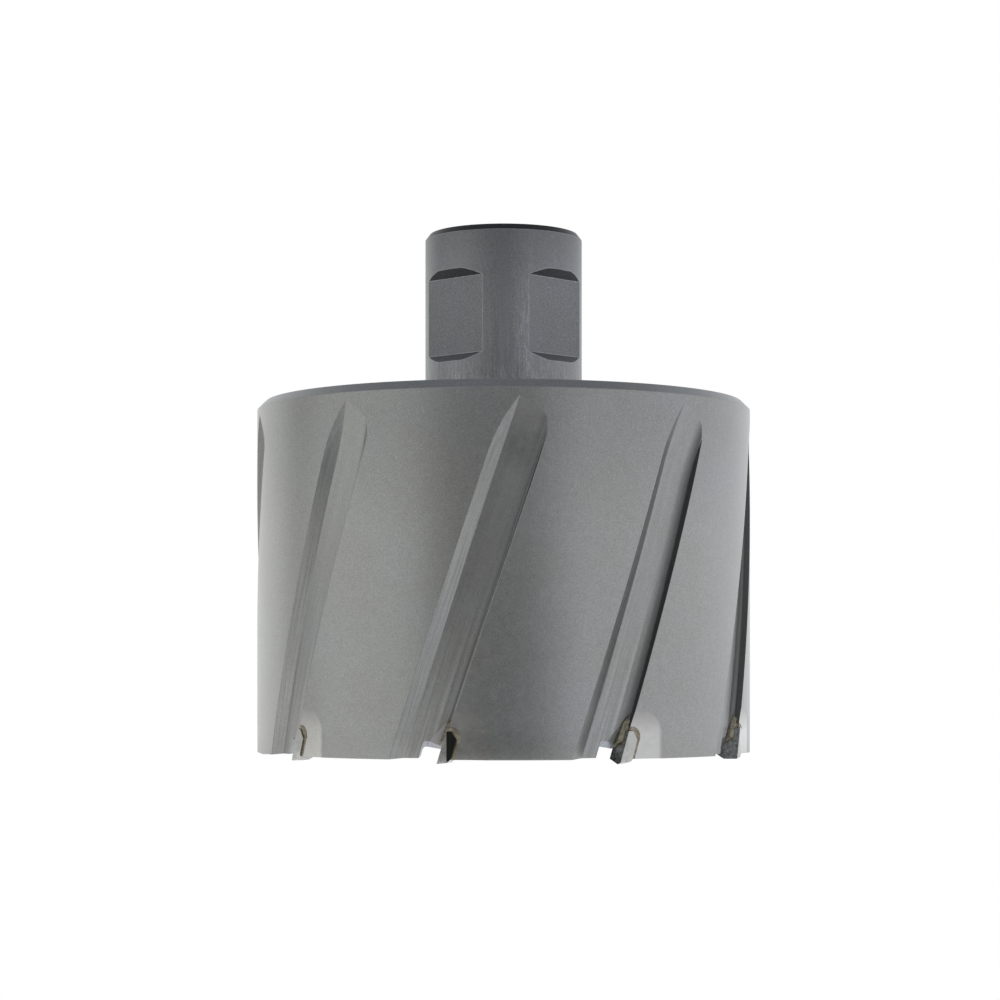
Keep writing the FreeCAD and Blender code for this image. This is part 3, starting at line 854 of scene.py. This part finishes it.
def steels(finish, flute):
    """The cup's finishes, in the order of the slots."""
    base, ground = tuple(finish.steel_colour), tuple(finish.ground_colour)
    along = (3500, 60, 3500)

    def corner_shade(where, way):
        """Painted shade in the flute's corner, weaker on the cutter's left side."""
        corner = way.axis("X").spread(flute.foot[0] - CORNER_SHADE_LEAD, flute.foot[1])
        return corner * where.axis("X").spread(*CORNER_SHADE_LEFT, 0.1, 1.0)

    def shallow(where, way):
        """Where the ground patch is so shallow that it looks like the land."""
        radius = where.vectors("MULTIPLY", "Vector", (1, 1, 0)).vectors("LENGTH", "Value")
        land = flute.land_radius * METRE
        high = where.axis("Z").spread(RELIEF_BEND * METRE, RELIEF_TOP * METRE)
        return radius.spread(land - SHALLOW[0], land - SHALLOW[1]).maximum(high)

    return [
        # The land: painted shade towards the top, and edges brightened as wear and painted highlight.
        steel("blasted_steel", finish, base, 0.33, grain=0.15, top_shade=(0.044, 0.064, 0.86),
              worn_and_highlit=(0.93, 0.8, 0.8), specks=0.22),
        # The floor: painted shade in its corner, and the brown brazing stain near the tip.
        steel("milled_flute", finish, scaled(base, 0.93), 0.33, grain=0.12, streak=(1500, 25, 1500),
              streak_depth=0.22, fade=(0.015, 0.04), second=(corner_shade, 0.46, 0.5), stain=True),
        # The sloping wall: painted shade towards the top.
        steel("milled_lead_wall", finish, scaled(base, 0.9), 0.33, streak=along, streak_depth=0.16,
              top_shade=(0.046, 0.066, 0.86)),
        # The ledge is painted darker: painted shade in the flute's corner.
        steel("flute_ledge", finish, scaled(base, 0.72), 0.38, streak=along, streak_depth=0.05),
        # The steep wall is painted dark: painted shade where the flute keeps the light off it; its stain is
        # brazing stain.
        steel("milled_rake_wall", finish, scaled(base, 0.42), 0.5, streak=along, streak_depth=0.1,
              stain=True),
        steel("ground_relief", finish, ground, 0.25, grain=0.008, streak=(4000, 250, 4000),
              streak_depth=0.02, turn=0.9, second=(shallow, base[0] / ground[0], 0.33)),
        # Brighter than the land: partly its ground finish, partly painted light that makes up for light its
        # tilt keeps off.
        steel("ground_facet", finish, scaled(base, 1.2), 0.5, grain=0.06),
        steel("gullet_roof", finish, finish.roof_colour, 0.36, streak=(2500, 300, 300), streak_depth=0.22),
        steel("turned_steel", finish, base, 0.42, streak=(20, 2500, 2500), streak_depth=0.08),
        steel("seat_steel", finish, scaled(base, 0.93), 0.5),
    ]


def shank_steels(finish):
    """The shank's finishes: darker and duller than the cup's, with a blackened end."""
    dull = tuple(finish.shank_colour)

    def scuffs_and_highlight(where, way):
        """Scuffs at the shank's foot, and a painted highlight in a band beside the flat on the right that
        fades upwards.
        """
        rise, across = where.axis("Z"), where.axis("X")
        band = across.spread(*BAND_LEFT).minimum(across.spread(*BAND_RIGHT, 1.0, 0.0))
        band = band * rise.spread(*BAND_HEIGHTS, 0.6, 0.1)
        scuffs = where.stretch((2600, 2600, 500)).noise(1.0, 4.0, 0.75)
        return rise.spread(*SCUFF_HEIGHTS, 1.2, 0.0).maximum(band) * scuffs.spread(0.48, 0.62, -0.15, 1.2)

    def ramps(where, way):
        """Painted shade on the flats' sloping ends, darker on the upper one, which faces down."""
        lift = Value(where.tree, "ShaderNodeTexCoord", "Normal").axis("Z")
        return lift.spread(-0.5, -0.2, 1.0, 0.0).maximum(lift.spread(0.2, 0.5, 0.0, 0.6))

    return [
        # The shank: painted shade towards the top, edges brightened as wear and painted highlight, scuffs and
        # a band of painted highlight.
        steel("shank_steel", finish, dull, 0.42, grain=0.2, streak=(2600, 2600, 90), streak_depth=0.12,
              fade=(0.084, 0.094), top_shade=(0.088, 0.104, 0.72), worn_and_highlit=(0.992, 0.968, 0.9),
              second=(scuffs_and_highlight, 1.7, 0.5), path=False),
        steel("shank_end", finish, scaled(dull, 0.2), 0.4),
        steel("shank_foot", finish, finish.steel_colour, 0.42),
        # The flats: edges brightened as wear and painted highlight, and painted shade on their ramps.
        steel("drive_flat", finish, scaled(dull, 0.88), 0.55, grain=0.26, worn_and_highlit=(0.992, 0.968, 1.0),
              second=(ramps, 0.55, 0.55), specks=0.2),
    ]


def paths_and_stains(mesh, flute):
    """Point attributes from each point's place: path and stain.

    Path is the distance across the flute, the way along it and the radius. Stain is
    exp(-((across - STAIN_MIDDLE) / STAIN_WIDTH) ** 2), fading out at the stain's top and bottom.
    """
    x, y, z = vectors_of(mesh.vertices).T / METRE
    radius = np.hypot(x, y)
    angle = np.degrees(np.arctan2(x, -y)) - flute.angle(z)
    angle = (angle + PITCH / 2) % PITCH - PITCH / 2
    side = angle / (flute.offset[-1] - flute.offset[0]) * (flute.side[-1] - flute.side[0])
    way = np.stack((side, z / math.cos(flute.lean), radius), axis=-1) * METRE
    mesh.attributes.new("path", "FLOAT_VECTOR", "POINT").data.foreach_set("vector", way.ravel())
    corner = np.exp(-((side - STAIN_MIDDLE) / STAIN_WIDTH) ** 2)
    stain = corner * np.clip((STAIN_TOP - z) / 4, 0, 1) * np.clip((z - STAIN_BOTTOM) / 2, 0, 1)
    mesh.attributes.new("stain", "FLOAT", "POINT").data.foreach_set("value", stain)


def carbide(finish):
    """Ground carbide: granular grey faces, smooth where polished; painted shade darkens the rake's honed
    edges, and a faint painted highlight brightens the margin's.
    """
    materials = []
    # Name, brightness, roughness, grain, and the colour and strength painted on the honed edges: painted
    # shade on the rake, a faint painted highlight on the margin, none on the polished relief
    for name, share, rough, grain, edge, strength in (
        ("carbide_margin", 0.97, 0.24, 0.12, finish.edge_colour, 0.3),
        ("carbide_rake", 0.74, 0.45, 0.4, HONED_SHADE, 0.9),
        ("carbide_polished", 0.97, 0.05, 0.04, finish.edge_colour, 0.0),
    ):
        material, tree, shader = nodes_for(name)
        where = Value(tree, "ShaderNodeTexCoord", "Object")
        fine, mottle = where.noise(3400, 3.0, 0.7), where.noise(1500, 3.0, 0.6)
        shade = (fine.swing(grain) * mottle.swing(grain)).brighten(scaled(finish.carbide_colour, share))
        # The row's colour painted on the honed edges: painted shade on the rake, painted highlight on the
        # margin.
        honed = edge_mask(rounded_normal(tree, HONED_WIDTH), 0.97, 0.85) * strength
        bump = {"Height": fine * (8 * grain), "Strength": 0.3, "Distance": 0.00002}
        roughness = mottle.spread(0.3, 0.7, rough * 0.85, rough * 1.15)
        metal(shader, honed.blend(shade, edge), roughness, bump)
        materials.append(material)
    return materials


def braze_alloy(finish):
    """Dull solder: olive grey and tan in patches, soft dimples and dark specks."""
    material, tree, shader = nodes_for("braze_alloy")
    where = Value(tree, "ShaderNodeTexCoord", "Object")
    patch, speck = where.noise(1100, 4.0, 0.65), where.noise(6000, 2.0, 0.7)
    shade = patch.spread(0.38, 0.62).blend(finish.braze_colour, scaled(finish.braze_colour, 0.55))
    shade = speck.spread(0.55, 0.72, 0.0, 0.7).blend(shade, finish.stain_colour)
    bump = {"Height": patch, "Strength": 0.5, "Distance": 0.0001}
    metal(shader, shade, patch.spread(0.3, 0.7, 0.42, 0.58), bump, metallic=0.9)
    return material


def floor_material(studio):
    """Pale floor: a diffuse share that takes the shadow, and white for the rays that see it."""
    material, tree, shader = nodes_for("pale_floor")
    join(shader, {"Base Color": (0.8, 0.8, 0.8), "Roughness": 0.9, "Specular IOR Level": 0.0})
    # White is seen by rays of the camera, of reflections and of glass.
    camera, glossy, glass = (Value(tree, "ShaderNodeLightPath", f"Is {kind} Ray")
                             for kind in ("Camera", "Glossy", "Transmission"))
    share = camera.maximum(glossy).maximum(glass) * (1 - studio.floor_share)
    # The glow makes up for what the diffuse share lacks, so that the open floor is white.
    light = {"Color": (1, 1, 1), "Strength": 1 + FLOOR_LACK * studio.floor_share}
    glow = Value(tree, "ShaderNodeEmission", "Emission", light)
    mix = Value(tree, "ShaderNodeMixShader", "Shader", {0: share, 1: shader.outputs["BSDF"], 2: glow})
    join(tree.nodes["Material Output"], {"Surface": mix})
    return material


def light_world(world, studio):
    """Soft studio: bright to both sides and behind, dim towards the viewer and overhead."""
    world.use_nodes = True
    tree = world.node_tree
    way = Value(tree, "ShaderNodeTexCoord", "Generated")
    x, y, z = (way.axis(name) for name in "XYZ")
    # The dark stretch in front is a low one, a little to the left; over and under it there is some light.
    core = math.radians(studio.core_angle)
    toward = way.vectors("DOT_PRODUCT", "Value", (math.sin(core), -math.cos(core), 0))
    front = toward.spread(0.978, 0.8, studio.front_light, studio.side_light)
    over, under = z.spread(0.05, 0.2, 0.0, studio.over_light), z.spread(-0.05, -0.2, 0.0, studio.under_light)
    around = y.spread(-0.6, 0.9, 0.0, studio.back_light - studio.side_light)
    level = front.maximum(over.maximum(under)) + around
    # A dimmer stretch behind on the left
    left = x.spread(-0.7, 0.0, 1.0, 0.0) * y.spread(0.0, 0.28).minimum(y.spread(0.34, 0.54, 1.0, 0.0))
    up = z.spread(0.15, 0.9)
    level = up.between(level * left.spread(0.0, 1.0, 1.0, studio.left_share), studio.top_light)
    # Warmer on the left, cooler on the right and from above
    tint = x.spread(-0.6, 0.6).blend((1.0, 1.005, 0.985), (0.98, 0.992, 1.02))
    lit = level.brighten(up.blend(tint, (0.93, 0.97, 1.06)))
    colour = Value(tree, "ShaderNodeLightPath", "Is Camera Ray").blend(lit, (1, 1, 1))
    join(tree.nodes["Background"], {"Color": colour, "Strength": 1.0})


class CutterSizes(PropertyGroup):
    """Sizes of the cutter that a user would change."""

    land_diameter: FloatProperty(
        name="Land diameter", description="Diameter of the cup over its lands", default=0.0996, unit="LENGTH")
    flute_depth: FloatProperty(
        name="Flute depth", description="Depth of the flutes below the lands", default=0.00167, unit="LENGTH")
    flute_width: FloatProperty(
        name="Flute width", description="Width of a flute, square across it", default=0.0093, unit="LENGTH")
    helix_angle: FloatProperty(
        name="Helix angle", description="Lean of the flutes from the axis",
        default=math.radians(18.7), subtype="ANGLE")
    shoulder_height: FloatProperty(
        name="Shoulder height", description="Height of the cup over the tip points",
        default=0.0712, unit="LENGTH")
    shank_diameter: FloatProperty(
        name="Shank diameter", description="Diameter of the shank", default=0.03175, unit="LENGTH")
    shank_length: FloatProperty(
        name="Shank length", description="Length of the shank over the shoulder",
        default=0.0343, unit="LENGTH")
    flat_depth: FloatProperty(
        name="Flat depth", description="Depth of the drive flats", default=0.00187, unit="LENGTH")
    bore_diameter: FloatProperty(
        name="Bore diameter", description="Diameter of the pilot bore", default=0.008, unit="LENGTH")
    braze_swell: FloatProperty(
        name="Braze swell", description="How far the braze stands proud", default=0.00004, unit="LENGTH")
    braze_grain: FloatProperty(
        name="Braze grain", description="Size of the quads of the braze", default=0.0001, unit="LENGTH")
    tip_bevel: FloatProperty(
        name="Tip edge", description="Width of the honed edges of the tips", default=0.00004, unit="LENGTH")
    seed: IntProperty(name="Seed", description="Starts the braze's random form", default=7, min=0)


class CutterFinish(PropertyGroup):
    """Colours and finishes of the cutter."""

    steel_colour: FloatVectorProperty(
        name="Steel", description="Colour of the blasted steel",
        default=(0.32, 0.325, 0.32), subtype="COLOR", min=0, max=1)
    shank_colour: FloatVectorProperty(
        name="Shank", description="Colour of the shank's dull steel",
        default=(0.235, 0.24, 0.248), subtype="COLOR", min=0, max=1)
    ground_colour: FloatVectorProperty(
        name="Ground steel", description="Colour of the relief ground behind a tip",
        default=(0.52, 0.515, 0.5), subtype="COLOR", min=0, max=1)
    roof_colour: FloatVectorProperty(
        name="Gullet roof", description="Colour of the bright roof of a gullet",
        default=(0.37, 0.385, 0.42), subtype="COLOR", min=0, max=1)
    # This colour is also painted as a highlight on edges and on the tips' margin edges, besides wear and
    # bright specks.
    edge_colour: FloatVectorProperty(
        name="Worn edge", description="Colour of worn edges",
        default=(0.52, 0.53, 0.53), subtype="COLOR", min=0, max=1)
    carbide_colour: FloatVectorProperty(
        name="Carbide", description="Colour of the ground carbide",
        default=(0.47, 0.47, 0.455), subtype="COLOR", min=0, max=1)
    braze_colour: FloatVectorProperty(
        name="Braze", description="Colour of the braze",
        default=(0.36, 0.325, 0.25), subtype="COLOR", min=0, max=1)
    stain_colour: FloatVectorProperty(
        name="Stain", description="Colour of the stain left by brazing",
        default=(0.13, 0.1, 0.07), subtype="COLOR", min=0, max=1)
    grain_size: FloatProperty(
        name="Grain", description="Size of the blasted grain", default=0.00026, unit="LENGTH")
    # This width also holds for the painted highlight on edges.
    edge_width: FloatProperty(
        name="Edge width", description="Width of worn edges", default=0.00022, unit="LENGTH")


class CutterStudio(PropertyGroup):
    """Light and camera."""

    side_light: FloatProperty(
        name="Side light", description="Strength of the light from both sides", default=0.9, min=0)
    back_light: FloatProperty(
        name="Back light", description="Strength of the light from behind", default=1.2, min=0)
    front_light: FloatProperty(
        name="Front light", description="Strength of the light from the viewer's side", default=0.004, min=0)
    over_light: FloatProperty(
        name="Light over front", description="Strength of the light over the dark stretch in front",
        default=0.9, min=0)
    under_light: FloatProperty(
        name="Light under front", description="Strength of the light under the dark stretch in front",
        default=0.45, min=0)
    core_angle: FloatProperty(
        name="Dark angle", description="Angle of the middle of the dark stretch, in degrees from the front",
        default=-5)
    top_light: FloatProperty(
        name="Top light", description="Strength of the light from above", default=0.39, min=0)
    left_share: FloatProperty(
        name="Left share", description="Share of the back light that comes from the left",
        default=0.58, min=0, max=1, subtype="FACTOR")
    floor_share: FloatProperty(
        name="Floor shadow", description="How strongly the floor shows the shadow",
        default=0.12, min=0, max=1, subtype="FACTOR")
    focal_length: FloatProperty(
        name="Focal length", description="Focal length of the camera", default=91.54, unit="CAMERA")
    camera_place: FloatVectorProperty(
        name="Camera", description="Where the camera stands", default=(0, -0.5165, 0.01943), subtype="XYZ")


class CUTTER_OT_cup(Operator):
    """Make the fluted cup with its gullets, seats and ground reliefs"""

    bl_idname = "cutter.cup"
    bl_label = "Make the cup"

    def execute(self, context):
        scene = context.scene
        sizes, finish = scene.cutter_sizes, scene.cutter_finish
        flute = flute_form(sizes)
        land_shares = np.round(np.concatenate(([0, 0.008], np.linspace(0.03, 1, 17))), 6)
        columns = sector_columns(flute, land_shares)
        block = lower_block(flute, columns, land_shares)
        lower = cut(block, [relief_cutter(), facet_cutter(), gullet_cutter(), seat_cutter()])
        upper = mesh_of("upper", *grid_arrays(upper_patches(flute, columns, sizes)))
        sector = welded("sector", [lower, upper], SECTOR_GAP, drop=CAP)
        points = vectors_of(sector.vertices)
        copies = [sector.copy() for _ in range(TEETH)]
        for number, copy in enumerate(copies):
            copy.vertices.foreach_set("co", turned(points, PITCH * number).ravel())
        bpy.data.meshes.remove(sector)
        mesh = welded("steel_cup", copies, SECTOR_GAP, METRE)
        paths_and_stains(mesh, flute)
        show("steel_cup", mesh, steels(finish, flute), "cutter_body")
        smooth(mesh, STEEL_BREAK)
        return {"FINISHED"}


class CUTTER_OT_shank(Operator):
    """Make the drive shank with its two flats"""

    bl_idname = "cutter.shank"
    bl_label = "Make the shank"

    def execute(self, context):
        scene = context.scene
        shell = mesh_of("shell", *grid_arrays(drive_shank_patches(scene.cutter_sizes)))
        mesh = welded("drive_shaft", [shell], GRID_GAP, METRE)
        show("round_shank", mesh, shank_steels(scene.cutter_finish), "drive_shank")
        smooth(mesh, STEEL_BREAK)
        return {"FINISHED"}


class CUTTER_OT_tips(Operator):
    """Make the carbide tips from their solids, with honed edges"""

    bl_idname = "cutter.tips"
    bl_label = "Make the tips"

    def execute(self, context):
        scene = context.scene
        materials = carbide(scene.cutter_finish)
        for number in range(TEETH):
            node = f"carbide_tip_{number + 1}"
            shell = merged_copy(node)
            corner = TIP_ANGLE + PITCH * number
            turn, lean = math.radians(corner + TIP_TWIST), math.radians(TIP_LEAN)
            onward = np.array((math.cos(turn), math.sin(turn), 0))
            rake = -(onward * math.cos(lean) - np.array((0, 0, math.sin(lean))))
            relief = place(1, corner + RELIEF_ANGLE, 0)
            # The polished relief starts where the margin ends on the rim.
            rim = place(TIP_RADIUS, corner + math.degrees(MARGIN_WIDTH / TIP_RADIUS), 0) * METRE
            parts = shell.verts[:] + shell.edges[:] + shell.faces[:]
            ground = bmesh.ops.bisect_plane(
                shell, geom=parts, dist=1e-8, plane_co=rim, plane_no=relief, clear_outer=True)
            edges = [part for part in ground["geom_cut"] if isinstance(part, bmesh.types.BMEdge)]
            bmesh.ops.edgenet_fill(shell, edges=edges)
            bmesh.ops.recalc_face_normals(shell, faces=shell.faces)
            for face in shell.faces:
                if np.dot(face.normal, rake) > RAKE_FACING:
                    face.material_index = TIP_RAKE
                if np.dot(face.normal, relief) > RELIEF_FACING:
                    face.material_index = TIP_POLISHED
            mesh = from_shell(f"tip_{number + 1}", shell)
            piece = show(f"tip_{number + 1}", mesh, materials, node)
            smooth(mesh, TIP_BREAK)
            bevel = piece.modifiers.new("honed edges", "BEVEL")
            bevel.width = scene.cutter_sizes.tip_bevel
            bevel.segments = 2
            bevel.harden_normals = True
            bevel.limit_method = "ANGLE"
            bevel.angle_limit = math.radians(TIP_BEVEL)
        return {"FINISHED"}


class CUTTER_OT_braze(Operator):
    """Make the braze round each tip: its solid made again from even quads, smoothed, and its open side
    lifted along the normal by braze swell times 1 + a sum of sines in seeded directions"""

    bl_idname = "cutter.braze"
    bl_label = "Make the braze"

    def execute(self, context):
        scene = context.scene
        sizes = scene.cutter_sizes
        material = braze_alloy(scene.cutter_finish)
        waves = np.random.default_rng(sizes.seed).normal(size=(3, WAVES)) / WAVE_LENGTH
        phases = np.random.default_rng(sizes.seed + 1).uniform(0, 2 * math.pi, WAVES)
        for number in range(TEETH):
            shell = merged_copy(f"braze_seam_{number + 1}")
            bmesh.ops.triangulate(shell, faces=shell.faces)
            mesh = remeshed(from_shell("seam", shell), sizes.braze_grain)
            points, normals = vectors_of(mesh.vertices), vectors_of(mesh.vertices, "normal")
            outward = points * (1, 1, 0) / np.linalg.norm(points[:, :2], axis=1)[:, None]
            open_share = np.clip(np.sum(normals * outward, axis=1), 0, 1)
            lift = (1 + np.sin(points @ waves + phases).mean(axis=1) * math.sqrt(WAVES)) * open_share
            points = points + normals * (sizes.braze_swell * lift)[:, None]
            mesh.vertices.foreach_set("co", points.ravel())
            show(f"braze_{number + 1}", mesh, [material], f"braze_seam_{number + 1}")
            mesh.shade_smooth()
        return {"FINISHED"}


class CUTTER_OT_stage(Operator):
    """Set the floor, the light and the camera"""

    bl_idname = "cutter.stage"
    bl_label = "Set the stage"

    def execute(self, context):
        scene = context.scene
        studio = scene.cutter_studio
        left, right, front, back = -FLOOR_REACH, FLOOR_REACH, -FLOOR_FRONT, FLOOR_REACH
        corners = [(left, front, 0), (right, front, 0), (right, back, 0), (left, back, 0)]
        mesh = mesh_of("floor", corners, [(0, 1, 2, 3)])
        linked("floor", mesh)
        mesh.materials.append(floor_material(studio))
        scene.world = bpy.data.worlds.new("studio")
        light_world(scene.world, studio)
        camera = linked("camera", bpy.data.cameras.new("camera"))
        camera.data.sensor_width = CAMERA_SENSOR
        camera.data.lens = studio.focal_length
        camera.data.shift_x, camera.data.shift_y = CAMERA_SHIFTS
        camera.location = studio.camera_place
        camera.rotation_euler = (math.pi / 2, 0, 0)
        scene.camera = camera
        scene.view_settings.view_transform = "Standard"
        return {"FINISHED"}


class CUTTER_PT_panel(Panel):
    """Lists the steps that make the cutter"""

    bl_idname = "CUTTER_PT_panel"
    bl_label = "Annular cutter"
    bl_space_type = "VIEW_3D"
    bl_region_type = "UI"
    bl_category = "Cutter"

    def draw(self, context):
        for group in (context.scene.cutter_sizes, context.scene.cutter_finish, context.scene.cutter_studio):
            for name in group.bl_rna.properties.keys():
                if name not in ("rna_type", "name"):
                    self.layout.prop(group, name)
        for step in STEPS:
            self.layout.operator(step.bl_idname)


STEPS = (CUTTER_OT_stage, CUTTER_OT_cup, CUTTER_OT_shank, CUTTER_OT_tips, CUTTER_OT_braze)
CLASSES = (CutterSizes, CutterFinish, CutterStudio) + STEPS + (CUTTER_PT_panel,)


def register():
    for part in CLASSES:
        bpy.utils.register_class(part)
    bpy.types.Scene.cutter_sizes = PointerProperty(type=CutterSizes)
    bpy.types.Scene.cutter_finish = PointerProperty(type=CutterFinish)
    bpy.types.Scene.cutter_studio = PointerProperty(type=CutterStudio)


def unregister():
    del bpy.types.Scene.cutter_studio
    del bpy.types.Scene.cutter_finish
    del bpy.types.Scene.cutter_sizes
    for part in reversed(CLASSES):
        bpy.utils.unregister_class(part)


def main():
    register()
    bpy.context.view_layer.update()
    bpy.ops.cutter.stage()
    bpy.ops.cutter.cup()
    bpy.ops.cutter.shank()
    bpy.ops.cutter.tips()
    bpy.ops.cutter.braze()


if __name__ == "__main__":
    main()
